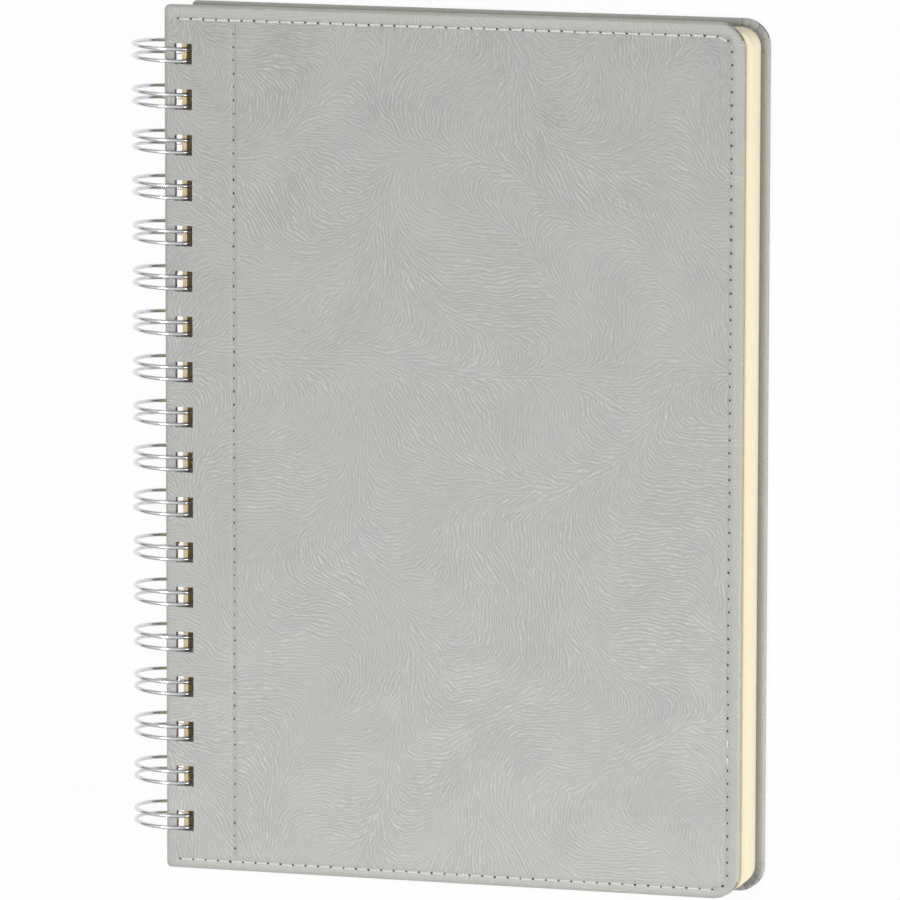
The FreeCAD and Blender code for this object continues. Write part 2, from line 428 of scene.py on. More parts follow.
class ShaderGraph(NodeGraph):
    """A new node material."""

    def __init__(self, name: str) -> None:
        """Start a material with its own surface and output.

        Args:
            name: the material's name.
        """
        self.material = bpy.data.materials.new(name)
        self.material.use_nodes = True
        super().__init__(self.material.node_tree)
        self.surface = self.add("ShaderNodeBsdfPrincipled")
        self.output = self.add("ShaderNodeOutputMaterial")
        self.join(self.surface.outputs["BSDF"], self.output.inputs["Surface"])

    def cover(self, colour: Source, settings: dict[str, float | tuple]) -> None:
        """Give the surface its colour, and what is the same all over it.

        Args:
            colour: the base colour.
            settings: the value of each other input, by the input's name.
        """
        self.feed(self.surface.inputs["Base Color"], colour)
        for name, setting in settings.items():
            self.surface.inputs[name].default_value = setting

    def bump(self, height: Socket, depth_mm: float, strength: float = 1.0) -> None:
        """Raise the surface by a height from 0 to 1.

        Args:
            height: the output with the height.
            depth_mm: what height 1 stands for, in millimetres.
            strength: the bump's strength.
        """
        node = self.add("ShaderNodeBump")
        node.inputs["Strength"].default_value = strength
        node.inputs["Distance"].default_value = depth_mm * MM
        self.join(height, node.inputs["Height"])
        self.join(node.outputs["Normal"], self.surface.inputs["Normal"])


@dataclass(frozen=True)
class LeatherFinish:
    """Grey leather embossed with fine hair-like strokes that flow in swirls."""

    name: str
    fore_x: float
    half_height: float
    inner_way: float
    light: tuple = linear(207, 208, 203)
    dark: tuple = linear(156, 157, 153)
    edge_tone: tuple = linear(188, 188, 181)
    cool_tint: tuple = (0.98, 0.96, 1.0, 1.0)
    roughness: float = 0.48
    directions: int = 6
    stroke_pitch: float = 0.98
    stroke_length: float = 1.5
    dash_share: float = 0.24
    # Stroke ridges lighter in colour: partly the grain's own tone, partly painted sheen.
    lustre: float = 0.55
    cloud_gain: float = 0.11
    # Painted light: how much lighter the leather's colour is made towards the tail.
    tail_gain: float = 0.45
    relief_mm: float = 0.1
    # Painted shade on the turned-in side, darker towards the pages, where the page block shades
    # it.
    folded_tone: tuple = (0.65, 0.67, 0.7, 1.0)
    folded_from: float = -2.5
    rim_from: float = -0.7
    flow_size: float = 46.0
    flow_turn: float = 2.0 * math.pi
    curl_size: float = 12.0
    curl_reach: float = 2.4
    wave_stretch: tuple = (0.45, 1.0, 0.0)
    wave_sway: float = 7.0
    dash_stretch: tuple = (0.38, 1.9, 0.0)
    break_depths: tuple = (0.22, 1.15)
    region_size: float = 25.0
    region_depths: tuple = (0.42, 1.0)
    cloud_size: float = 17.0
    cool_size: float = 15.0
    margin_share: float = 0.55
    seam_inset: float = 3.4

    def strokes(self, graph: ShaderGraph) -> Socket:
        """Lay strokes along a direction that drifts over the cover.

        Args:
            graph: the material's graph.

        Returns:
            A height from 0 to 1.
        """
        place = graph.place_mm()
        curl = graph.noise(place, 1 / self.curl_size, 1.0, "Color")
        curl = graph.vector("SUBTRACT", curl, (0.5, 0.5, 0.5))
        curl = graph.vector("MULTIPLY", curl, (self.curl_reach * 2, self.curl_reach * 2, 0))
        carried = graph.vector("ADD", place, curl)
        flow = graph.noise(place, 1 / self.flow_size, 0.0)
        heading = graph.spread(flow, 0.25, 0.75, 0, self.flow_turn)
        total, weight = None, None
        for number in range(self.directions):
            angle = math.pi * number / self.directions
            turn = graph.add("ShaderNodeVectorRotate", rotation_type="Z_AXIS")
            graph.feed(turn.inputs["Vector"], carried)
            turn.inputs["Angle"].default_value = -angle
            drawn = graph.vector("MULTIPLY", turn.outputs[0], self.wave_stretch)
            layer = graph.waves(drawn, self.stroke_pitch, self.wave_sway, 1.0)
            drawn = graph.vector("MULTIPLY", turn.outputs[0], self.dash_stretch)
            dashes = graph.spread(graph.noise(drawn, 1.0, 0.0), 0.3, 0.7,
                                  -self.dash_share, self.dash_share)
            layer = graph.math("MULTIPLY_ADD", layer, 1 - self.dash_share, dashes)
            off = graph.math("MULTIPLY_ADD", heading, 2.0, -2 * angle)
            share = graph.spread(graph.math("COSINE", off), 0.55, 1, 0.001, 1)
            part = graph.math("MULTIPLY", layer, share)
            total = part if total is None else graph.math("ADD", total, part)
            weight = share if weight is None else graph.math("ADD", weight, share)
        lines = graph.math("SUBTRACT", graph.math("DIVIDE", total, weight),
                           0.5 * (1 - self.dash_share))
        breaks = graph.noise(place, 1 / self.stroke_length, 1.0)
        depth = graph.spread(breaks, 0.35, 0.6, *self.break_depths)
        region = graph.noise(place, 1 / self.region_size, 1.0)
        depth = graph.math("MULTIPLY", depth,
                           graph.spread(region, 0.38, 0.6, *self.region_depths))
        height = graph.math("MULTIPLY_ADD", lines, depth, 0.5)
        return graph.spread(height, 0.35, 1.0, 0, 1)

    def past_edge(self, graph: ShaderGraph) -> Socket:
        """Measure from the nearest sewn edge.

        Args:
            graph: the material's graph.

        Returns:
            How far a point is past that edge, less than 0 on the cover.
        """
        place = graph.place_mm()
        past_fore = graph.math("SUBTRACT", graph.axis(place, "X"), self.fore_x)
        past_ends = graph.math("SUBTRACT", graph.math("ABSOLUTE", graph.axis(place, "Y")),
                               self.half_height)
        return graph.math("MAXIMUM", past_fore, past_ends)

    def folded(self, graph: ShaderGraph, past: Socket) -> Socket:
        """Return how much painted shade a point of the turned-in side gets, darker away from the
        rim towards the pages.

        Args:
            graph: the material's graph.
            past: how far a point is past the nearest sewn edge.

        Returns:
            A share from 0 at the rim and on the outside to 1 on the inner side.
        """
        upright = graph.axis(graph.add("ShaderNodeTexCoord").outputs["Normal"], "Z")
        facing = graph.math("MULTIPLY", upright, self.inner_way)
        inner = graph.spread(facing, 0.6, 0.95, 0, 1)
        return graph.math("MULTIPLY", inner, graph.spread(past, self.folded_from,
                                                           self.rim_from, 1, 0))

    def build(self) -> bpy.types.Material:
        """Build the leather's material.

        Returns:
            The material.
        """
        graph = ShaderGraph(self.name)
        height = self.strokes(graph)
        past = self.past_edge(graph)
        margin = graph.spread(past, -self.seam_inset - 0.5, -self.seam_inset + 0.5, 0, 1, True)
        place = graph.place_mm()
        patch = graph.spread(graph.noise(place, 1 / self.cloud_size), 0.3, 0.7, 0, 1)
        # Painted light: the leather's colour gets lighter towards the tail.
        tail = graph.spread(graph.axis(place, "Y"), -self.half_height, self.half_height,
                            self.tail_gain, 0)
        # The stroke ridges are lightened: partly the grain's own tone, partly painted sheen.
        tone = graph.math("ADD", graph.math("MULTIPLY", height, self.lustre),
                          graph.math("MULTIPLY", patch, self.cloud_gain))
        shade = graph.math("ADD", tone, tail)
        grey = graph.blend(shade, self.dark, self.light)
        cool = graph.spread(graph.noise(place, 1 / self.cool_size), 0.5, 0.72, 0, 1, True)
        grey = graph.blend(cool, grey, self.cool_tint, "MULTIPLY")
        grey = graph.blend(graph.math("MULTIPLY", margin, self.margin_share), grey, self.edge_tone)
        # Painted shade: the turned-in side is darkened towards the pages.
        grey = graph.blend(self.folded(graph, past), grey, self.folded_tone, "MULTIPLY")
        graph.cover(grey, {"Roughness": self.roughness})
        relief = graph.math("MULTIPLY", height, graph.spread(margin, 0, 1, 1, 0.6))
        graph.bump(relief, self.relief_mm)
        return graph.material


@dataclass(frozen=True)
class PlainFinish:
    """A finish of one colour with a faint, fine mottle."""

    name: str
    colour: tuple
    roughness: float = 0.7
    metallic: float = 0.0
    mottle: float = 0.06
    grain_mm: float = 0.6

    def build(self) -> bpy.types.Material:
        """Build the finish's material.

        Returns:
            The material.
        """
        graph = ShaderGraph(self.name)
        grain = graph.noise(graph.place(), 1 / (self.grain_mm * MM), 3.0)
        dim = tuple(channel * (1 - self.mottle) for channel in self.colour[:3]) + (1.0,)
        graph.cover(graph.blend(grain, dim, self.colour),
                    {"Roughness": self.roughness, "Metallic": self.metallic})
        return graph.material


@dataclass(frozen=True)
class PageFinish:
    """Cream paper whose cut edges show fine sheet lines, tinted tan near the spine as painted
    shade.
    """

    name: str
    tilt: float
    cream: tuple = linear(253, 236, 205)
    shade: tuple = linear(248, 226, 190)
    # Painted shade with warm bounce light: the tan of the pages near the spine, where the holes
    # are.
    punched: tuple = linear(240, 210, 166)
    punched_to_x: float = -72.9
    sheet: float = 0.1
    line_share: float = 0.3
    roughness: float = 0.8
    translucence: float = 0.35
    bleed: tuple = (1.0, 0.7, 0.45)
    bleed_mm: float = 3.0
    relief_mm: float = 0.05

    def build(self) -> bpy.types.Material:
        """Build the paper's material.

        Returns:
            The material.
        """
        graph = ShaderGraph(self.name)
        turn = graph.add("ShaderNodeVectorRotate", rotation_type="Y_AXIS")
        graph.feed(turn.inputs["Vector"], graph.place_mm())
        turn.inputs["Angle"].default_value = -self.tilt
        stretch = (0.02, 0.02, 1 / self.sheet)
        sheets = graph.noise(graph.vector("MULTIPLY", turn.outputs[0], stretch), 0.5, 2.0)
        lines = graph.spread(sheets, 0.35, 0.65, 0, 1)
        normal = graph.add("ShaderNodeNewGeometry").outputs["Normal"]
        steep = graph.math("ABSOLUTE", graph.axis(normal, "Z"))
        edge = graph.spread(steep, 0.5, 0.9, 1, 0)
        share = graph.math("MULTIPLY", edge, graph.math("MULTIPLY", lines, self.line_share))
        # Painted shade: the pages near the spine, seen through the holes, are tinted tan.
        spine_painted_shade_mask = graph.math("LESS_THAN", graph.axis(graph.place_mm(), "X"),
                              self.punched_to_x)
        colour = graph.blend(share, self.cream, self.shade)
        graph.cover(graph.blend(spine_painted_shade_mask, colour, self.punched),
                    {"Roughness": self.roughness, "Subsurface Weight": self.translucence,
                     "Subsurface Radius": self.bleed, "Subsurface Scale": self.bleed_mm * MM})
        graph.bump(graph.math("MULTIPLY", edge, lines), self.relief_mm, 0.5)
        return graph.material


@dataclass(frozen=True)
class BindingWire:
    """One wire bent through every twin loop, tip and link, as smooth round stock."""

    stack: StackFrame
    loops: int = 18
    pitch: float = 12.7
    twin: float = 3.35
    thickness: float = 1.1
    ring_radius: float = 10.1
    bend: float = 1.2
    link_clearance: float = 0.35
    seam_gap: float = 0.8
    page_back: float = -3.5
    lean: float = -0.042
    lean_start: float = -4.2
    ring_steps: int = 56
    tip_steps: int = 12
    bend_steps: int = 6

    @staticmethod
    def arc(centre: Vector, first: Vector, second: Vector, turn: float,
            steps: int) -> list[Vector]:
        """Return points along an arc, its start left out.

        Args:
            centre: the arc's centre.
            first: from the centre to the start.
            second: square to first and as long, the way that the arc turns.
            turn: the arc's angle, in radians.
            steps: the number of points.

        Returns:
            The points, the last at the arc's end.
        """
        angles = [turn * step / steps for step in range(1, steps + 1)]
        return [centre + first * math.cos(a) + second * math.sin(a) for a in angles]

    def route(self) -> list[Vector]:
        """Follow the wire from the first loop's link to the last one's.

        Returns:
            The points of its centreline, in stack millimetres.
        """
        half = self.twin / 2
        link = self.page_back + self.link_clearance + self.thickness / 2
        tip_level = link + self.thickness + self.seam_gap
        radius = self.ring_radius
        base = math.asin(link / math.hypot(radius, self.bend)) - math.atan2(self.bend, radius)
        tip = math.asin(tip_level / math.hypot(radius, half)) + math.atan2(half, radius)
        sweep = 2 * math.pi - (tip - base)
        along, quarter = Vector((0, 1, 0)), math.pi / 2
        out_base = Vector((math.cos(base), 0, math.sin(base)))
        up_base = Vector((-math.sin(base), 0, math.cos(base)))
        out_tip = Vector((math.cos(tip), 0, math.sin(tip)))
        up_tip = Vector((-math.sin(tip), 0, math.cos(tip)))
        points = []
        for number in range(self.loops):
            middle = along * ((number - (self.loops - 1) / 2) * self.pitch)
            low, high = middle - along * half, middle + along * half
            heel = low + out_base * radius - along * self.bend
            points.append(heel + up_base * self.bend)
            points += self.arc(heel, up_base * self.bend, along * self.bend, quarter,
                               self.bend_steps)
            points += self.arc(low, out_base * radius, up_base * -radius, sweep,
                               self.ring_steps)
            nose = middle + out_tip * radius
            points += self.arc(nose, along * -half, up_tip * -half, math.pi, self.tip_steps)
            points += self.arc(high, out_tip * radius, up_tip * radius, sweep,
                               self.ring_steps)
            heel = high + out_base * radius + along * self.bend
            points += self.arc(heel, along * -self.bend, up_base * self.bend, quarter,
                               self.bend_steps)
        return [p + along * (self.lean * (p.x - self.lean_start)) for p in points]

    def build(self, material: bpy.types.Material) -> bpy.types.Object:
        """Make the wire and let it stand for the CAD node.

        Args:
            material: the wire's finish.

        Returns:
            The wire as a mesh.
        """
        wire = start_path()
        line = wire.data.splines.new("POLY")
        route = self.route()
        line.points.add(len(route) - 1)
        for point, place in zip(line.points, route):
            point.co = (*place, 1.0)
        wire.data.twist_mode = "MINIMUM"
        wire = settle(thicken(wire, self.thickness / 2, 4), "wire", self.stack, material, 50)
        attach(wire, "binding")
        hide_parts("binding_wire")
        return wire


@dataclass(frozen=True)
class Stitch:
    """One visible length of thread between two needle holes."""

    start: Vector
    end: Vector
    bright: bool


@dataclass
class Stitching:
    """The seams of one cover: round three edges, and down beside the holes."""

    stack: StackFrame
    side: Side
    spine_u: float
    fore_u: float
    half_height: float
    outer_v: float
    pitch: float = 3.67
    head_inset: float = 3.8
    tail_inset: float = 2.6
    fore_inset: float = 3.4
    start: float = 4.1
    column: float = 20.0
    corner: float = 4.1
    pale_round: float = 0.6
    pale_past: float = 0.4
    tacks: tuple = (-77.8, -82.5)
    tack_length: float = 2.2
    ply_radius: float = 0.165
    ply_offset: float = 0.12
    ply_turn: float = 1.7
    ply_steps: int = 12
    stray: float = 0.1
    sunk: float = 0.1
    grey_sunk: float = 0.06
    end_drop: float = 0.34
    hole_radius: float = 0.4
    hole_shape: tuple = (1.2, 0.8, 0.5, 1.0)
    hole_sunk: float = 0.3
    groove: float = 0.62
    groove_depth: float = 0.14
    pit_depth: float = 0.14

    def edge_route(self) -> list[list[Vector]]:
        """Lay the seam round the three edges, from the head's spine end.

        Returns:
            Its legs, each a list of its corners.
        """
        head, tail = self.half_height - self.head_inset, self.tail_inset - self.half_height
        fore = self.fore_u - self.fore_inset
        bends = []
        for y, first in ((head - self.corner, Vector((0, 1, 0))),
                         (tail + self.corner, Vector((1, 0, 0)))):
            centre = Vector((fore - self.corner, y, 0))
            second = Vector((first.y, -first.x, 0))
            ways = [first * math.cos(a) + second * math.sin(a)
                    for a in [math.pi / 2 * step / 8 for step in range(9)]]
            bends.append([centre + way * self.corner for way in ways])
        start, end = (Vector((self.spine_u + self.start, y, 0)) for y in (head, tail))
        return [[start, bends[0][0]], bends[0], [bends[0][-1], bends[1][0]], bends[1],
                [bends[1][-1], end]]

    def column_route(self) -> list[list[Vector]]:
        """Lay the seam beside the holes, from head to tail.

        Returns:
            Its one leg, as a list of its two ends.
        """
        u = self.spine_u + self.column
        head, tail = self.half_height - self.head_inset, self.tail_inset - self.half_height
        return [[Vector((u, head, 0)), Vector((u, tail, 0))]]

    def needles(self, route: list[list[Vector]]) -> list[Vector]:
        """Space needle holes evenly along each leg of a route.

        Args:
            route: the legs of the seam's middle, each a list of its corners.

        Returns:
            The holes' places, with one wherever two legs meet.
        """
        places = [route[0][0]]
        for leg in route:
            runs = [(b - a).length for a, b in zip(leg, leg[1:])]
            count = max(round(sum(runs) / self.pitch), 1 if len(runs) == 1 else 2)
            for number in range(1, count + 1):
                target, run = sum(runs) * number / count, 0
                while run < len(runs) - 1 and runs[run] < target - 1e-6:
                    target -= runs[run]
                    run += 1
                places.append(leg[run].lerp(leg[run + 1], min(1.0, target / runs[run])))
        return places

    def dip_at(self, place: Vector, needles: list[Vector]) -> float:
        """Return how far the seam pulls the leather in at a place.

        Args:
            place: a point of the cover's outside.
            needles: the needle holes of the seam round the edges.

        Returns:
            The depth, in millimetres.
        """
        ranked = sorted((needle - place).length_squared for needle in needles)
        near, next_near = math.sqrt(ranked[0]), math.sqrt(ranked[1])
        span = self.pitch
        along = (near ** 2 - next_near ** 2 + span ** 2) / (2 * span)
        aside = math.sqrt(max(0.0, near ** 2 - along ** 2))
        past_end = max(0.0, -along)
        groove = math.exp(-((aside / self.groove) ** 2) - (past_end / self.groove) ** 2)
        pit = math.exp(-((near / (self.groove * 1.1)) ** 2))
        return self.groove_depth * groove + self.pit_depth * pit

    def hole_places(self) -> list[Matrix]:
        """Place every needle hole.

        Returns:
            For each hole the matrix of its place, its X turned along the seam.
        """
        found = []
        for route in (self.edge_route(), self.column_route()):
            places = self.needles(route)
            ends = places[:1] + places + places[-1:]
            for before, place, after in zip(ends, places, ends[2:]):
                run = after - before
                turn = Matrix.Rotation(math.atan2(run.y, run.x), 4, "Z")
                found.append(Matrix.Translation(place) @ turn)
        return found

    def stitches(self) -> list[Stitch]:
        """Lay the thread of both seams and the two bright end tacks.

        Returns:
            Every stitch.
        """
        found = []
        from_head = self.half_height - self.head_inset - self.corner * self.pale_round
        from_tail = self.tail_inset + self.pale_past - self.half_height
        for route, plain in ((self.edge_route(), False), (self.column_route(), True)):
            places = self.needles(route)
            for a, b in zip(places, places[1:]):
                middle = (a + b) / 2
                ends = middle.y > from_head or middle.y < from_tail
                found.append(Stitch(a, b, not plain and ends))
        half = Vector((0, self.tack_length / 2, 0))
        for y in self.tacks:
            place = Vector((self.fore_u - self.fore_inset, y, 0))
            found.append(Stitch(place + half, place - half, True))
        return found

    def level(self, depth: float) -> float:
        """Return the height of a point that is sunk into the cover's outside."""
        return self.outer_v - self.side.value * depth

    def build_thread(self, bright: bool, material: bpy.types.Material) -> bpy.types.Object:
        """Make all the thread of one colour as one piece.

        Args:
            bright: whether it is the pale thread of the head and tail.
            material: the thread's finish.

        Returns:
            The thread.
        """
        wanted = [s for s in self.stitches() if s.bright == bright]
        hand = random.Random(7)
        steps = self.ply_steps
        thread = start_path()
        for stitch in wanted:
            run = stitch.end - stitch.start
            along = run.normalized()
            square = Vector((-along.y, along.x, 0))
            aside = square * hand.uniform(-self.stray, self.stray)
            stout = hand.uniform(0.85, 1.25) if bright else hand.uniform(0.75, 1.0)
            phase, near, far = hand.uniform(0, 6.3), hand.uniform(0.06, 0.13), 0.9
            for ply in range(2):
                line = thread.data.splines.new("POLY")
                line.points.add(steps)
                for number, point in enumerate(line.points):
                    share = near + (far - near) * number / steps
                    turn = phase + math.pi * ply + math.tau * run.length * share / self.ply_turn
                    reach = self.ply_offset * stout
                    place = stitch.start + run * share + aside + square * (reach * math.cos(turn))
                    dip = self.end_drop * abs(2 * share - 1) ** 5 - reach * math.sin(turn)
                    depth = dip + self.sunk + (0.0 if bright else self.grey_sunk)
                    point.co = (place.x, place.y, self.level(depth), 1.0)
                    point.radius = stout
        kind = "pale" if bright else "grey"
        thread = settle(thicken(thread, self.ply_radius, 1),
                        f"{self.side.body}_{kind}_thread", self.stack, material, 60)
        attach(thread, self.side.body)
        return thread

    def build_needle_holes(self, material: bpy.types.Material) -> bpy.types.Object:
        """Make the needle holes at the stitches' ends as one piece, dark blobs of painted shade.

        Args:
            material: the dark colour, painted shade for the inside of a hole.

        Returns:
            The holes.
        """
        seed = add_object(bpy.ops.mesh.primitive_uv_sphere_add, segments=8, ring_count=4,
                          radius=self.hole_radius)
        seed.data.transform(Matrix.Diagonal(self.hole_shape))
        copies = []
        hand = random.Random(5)
        for place in self.hole_places():
            copy = seed.copy()
            copy.data = seed.data.copy()
            shift = Vector((hand.uniform(-self.stray, self.stray),
                            hand.uniform(-self.stray, self.stray), self.level(self.hole_sunk)))
            copy.data.transform(Matrix.Translation(shift) @ place
                                @ Matrix.Scale(hand.uniform(0.85, 1.2), 4))
            bpy.context.collection.objects.link(copy)
            copies.append(copy)
        bpy.data.objects.remove(seed)
        deselect()
        for copy in copies:
            copy.select_set(True)
        bpy.context.view_layer.objects.active = copies[0]
        bpy.ops.object.join()
        holes = settle(bpy.context.object, f"{self.side.body}_needle_holes", self.stack,
                       material, 60)
        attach(holes, self.side.body)
        return holes


@dataclass
class LeatherSkin:
    """The soft wrap of one cover: rolled edges, sewn groove, turned-in corner pleats."""

    stack: StackFrame
    seams: Stitching
    low: Vector
    high: Vector
    hole_start: float
    fore_radius: float = 7.5
    spine_radius: float = 1.4
    roll: float = 0.9
    inner_roll: float = 0.9
    leather: float = 0.5
    board: float = 1.2
    turn_in: float = 15.0
    hole_width: float = 5.073
    hole_length: float = 5.75
    hole_pitch: float = 12.7
    hole_count: int = 18
    pleat_depth: float = 0.42
    pleat_reach: float = 5.5
    ripple: float = 0.07
    fore_steps: int = 46
    spine_steps: int = 8

    def corner_steps(self, radius: float) -> int:
        """Return how many chords a corner of a radius takes."""
        return self.fore_steps if radius > 3 else self.spine_steps

    def ring(self, inset: float) -> list[Vector]:
        """Return the cover's outline at a distance in from its edge, always as many points.

        Args:
            inset: the distance in, in millimetres.

        Returns:
            The points, anticlockwise seen from the front.
        """
        left, right = self.low.x + inset, self.high.x - inset
        low, high = self.low.y + inset, self.high.y - inset
        least = 0.15
        spine = max(self.spine_radius - inset, least)
        fore = max(self.fore_radius - inset, least)
        corners = (((right - fore, low + fore), fore, self.fore_radius, -90),
                   ((right - fore, high - fore), fore, self.fore_radius, 0),
                   ((left + spine, high - spine), spine, self.spine_radius, 90),
                   ((left + spine, low + spine), spine, self.spine_radius, 180))
        points = []
        for number, ((x, y), radius, outer, start) in enumerate(corners):
            steps = self.corner_steps(outer)
            for step in range(steps + 1):
                angle = math.radians(start + 90 * step / steps)
                points.append(Vector((x + radius * math.cos(angle),
                                      y + radius * math.sin(angle), 0)))
            run = (self.high.y - self.low.y) if number % 2 == 0 else (self.high.x - self.low.x)
            cells = round(run / (self.seams.pitch / 6 if number != 2 else 2.0))
            (nx, ny), radius, _, start = corners[(number + 1) % 4]
            angle = math.radians(start)
            goal = Vector((nx + radius * math.cos(angle), ny + radius * math.sin(angle), 0))
            here = points[-1]
            points += [here.lerp(goal, cell / cells) for cell in range(1, cells)]
        return points

    def pleat_at(self, place: Vector, inset: float) -> float:
        """Return how deep the turned-in leather folds at a place near a fore corner.

        Args:
            place: a point of the cover's inner side.
            inset: how far it is from the edge.

        Returns:
            The depth, in millimetres.
        """
        depth = 0.0
        for way, angles in ((1, (4, 26, 50, 68, 84)), (-1, (6, 22, 37, 52, 66, 80))):
            centre = Vector((self.high.x - self.fore_radius - 1.5,
                             way * (self.high.y - self.fore_radius - 1.5), 0))
            arm = place - centre
            if arm.x < 0 or arm.y * way < 0:
                continue
            heading = math.degrees(math.atan2(arm.y * way, arm.x))
            for number, angle in enumerate(angles):
                off = (heading - angle) / (1.6 if number % 2 else 2.0)
                depth = max(depth, math.exp(-off * off) * (0.55 if number % 2 else 1.0))
        return self.pleat_depth * depth * math.exp(-((inset / self.pleat_reach) ** 2))

    def layers(self) -> list[tuple[float, float, bool]]:
        """Return the rings from the outside's middle, over the edge, to the inner side.

        Returns:
            For each ring its inset, its height down from its own side, and whether it is
            on the outside.
        """
        quarter = [math.radians(step * 18) for step in range(6)]
        bend, inner_bend = ([(roll * (1 - math.cos(a)), roll * (1 - math.sin(a)))
                             for a in quarter] for roll in (self.roll, self.inner_roll))
        flat = [1.3, 1.7, 2.05, 2.35, 2.65, 2.95, 3.25, 3.55, 3.85, 4.15, 4.5, 4.9, 5.5, 6.3]
        inner = [1.4, 2.1, 3.0, 4.2, 6.0]
        outside = [(inset, 0.0, True) for inset in reversed(flat)]
        outside += [(inset, drop, True) for inset, drop in reversed(bend)]
        inside = [(inset, drop, False) for inset, drop in inner_bend]
        return outside + inside + [(inset, 0.0, False) for inset in inner]

    def wrap(self) -> bpy.types.Object:
        """Draw the wrap's whole skin as rings, extruded one from the next.

        Returns:
            The skin, still open in the middle of both sides.
        """
        layers = self.layers()
        outlines = [self.ring(inset) for inset, _, _ in layers]
        count = len(outlines[0])
        skin = add_object(bpy.ops.mesh.primitive_circle_add, vertices=count, fill_type="NGON")
        bpy.ops.object.mode_set(mode="EDIT")
        bpy.ops.mesh.select_all(action="SELECT")
        for _ in layers[1:]:
            bpy.ops.mesh.extrude_region_move()
        bpy.ops.object.mode_set(mode="OBJECT")
        outer_v, inner_v, sign = self.levels()
        needles = self.seams.needles(self.seams.edge_route())
        hand = random.Random(11)
        ripples = [hand.uniform(-self.ripple, self.ripple) for _ in range(count)]
        for layer, (outline, (inset, drop, outside)) in enumerate(zip(outlines, layers)):
            for index, place in enumerate(outline):
                if outside:
                    sink = self.seams.dip_at(place, needles) if inset >= self.roll else 0.0
                    level = outer_v - sign * (drop + sink)
                else:
                    fold = self.pleat_at(place, inset)
                    level = inner_v + sign * (drop + fold)
                reach = 0.9 if outside else 3.2
                level += ripples[index] * math.exp(-((inset - 0.5) / reach) ** 2)
                vertex = skin.data.vertices[layer * count + index]
                vertex.co = (place.x, place.y, level)
        return skin

    def levels(self) -> tuple[float, float, float]:
        """Find the wrap's two sides.

        Returns:
            The heights of the outside and the inner side, and the sign of the way outwards.
        """
        sign = self.seams.side.value
        if sign > 0:
            return self.high.z, self.low.z, sign
        return self.low.z, self.high.z, sign

    def block(self, low: Vector, high: Vector, radius: float = 0.0) -> bpy.types.Object:
        """Make a block between two corners, its upright edges rounded if a radius is given.

        Args:
            low: the lowest corner.
            high: the highest corner.
            radius: the rounding of its upright edges.

        Returns:
            The block.
        """
        block = add_object(bpy.ops.mesh.primitive_cube_add, size=1)
        size = high - low
        block.data.transform(Matrix.Translation((low + high) / 2)
                             @ Matrix.Diagonal((size.x, size.y, size.z, 1)))
        if radius:
            rounding = block.modifiers.new("rounding", "BEVEL")
            rounding.width, rounding.segments = radius, 8
            rounding.limit_method = "WEIGHT"
            weights = block.data.attributes.new("bevel_weight_edge", "FLOAT", "EDGE")
            for edge in block.data.edges:
                a, b = (block.data.vertices[v].co for v in edge.vertices)
                weights.data[edge.index].value = 1.0 if abs(a.z - b.z) > 1e-6 else 0.0
            pick(block)
            bpy.ops.object.modifier_apply(modifier=rounding.name)
        return block

    def hole_punch(self) -> bpy.types.Object:
        """Make the row of blocks that cuts the wire holes.

        Returns:
            The row, as one object.
        """
        near = self.low.x + self.hole_start
        half = self.hole_length / 2
        first = -(self.hole_count - 1) / 2 * self.hole_pitch
        punch = self.block(Vector((near, first - half, self.low.z - 1)),
                           Vector((near + self.hole_width, first + half, self.high.z + 1)))
        row = punch.modifiers.new("row", "ARRAY")
        row.count = self.hole_count
        row.use_relative_offset = False
        row.use_constant_offset = True
        row.constant_offset_displace = (0, self.hole_pitch, 0)
        pick(punch)
        bpy.ops.object.modifier_apply(modifier=row.name)
        return punch

    def groove_tool(self) -> bpy.types.Object:
        """Make the long rounded tool that presses the seam beside the holes.

        Returns:
            The tool.
        """
        outer_v, _, sign = self.levels()
        start, end = self.seams.column_route()[0]
        tool = add_object(bpy.ops.mesh.primitive_cylinder_add, vertices=40, radius=1.0,
                          depth=1.0, rotation=(math.pi / 2, 0, 0))
        bpy.ops.object.transform_apply(location=False, rotation=True, scale=False)
        place = Vector((start.x, (start.y + end.y) / 2, outer_v + sign * 0.3))
        tool.data.transform(Matrix.Translation(place)
                            @ Matrix.Diagonal((1.0, (start.y - end.y) + 0.6, 0.48, 1)))
        return tool

    def cut(self, skin: bpy.types.Object, tool: bpy.types.Object) -> None:
        """Take a tool's volume out of the skin, and remove the tool.

        Args:
            skin: the object that is cut.
            tool: the object that cuts it.
        """
        cutting = skin.modifiers.new("cut", "BOOLEAN")
        cutting.operation, cutting.solver, cutting.object = "DIFFERENCE", "EXACT", tool
        pick(skin)
        bpy.ops.object.modifier_apply(modifier=cutting.name)
        bpy.data.objects.remove(tool)

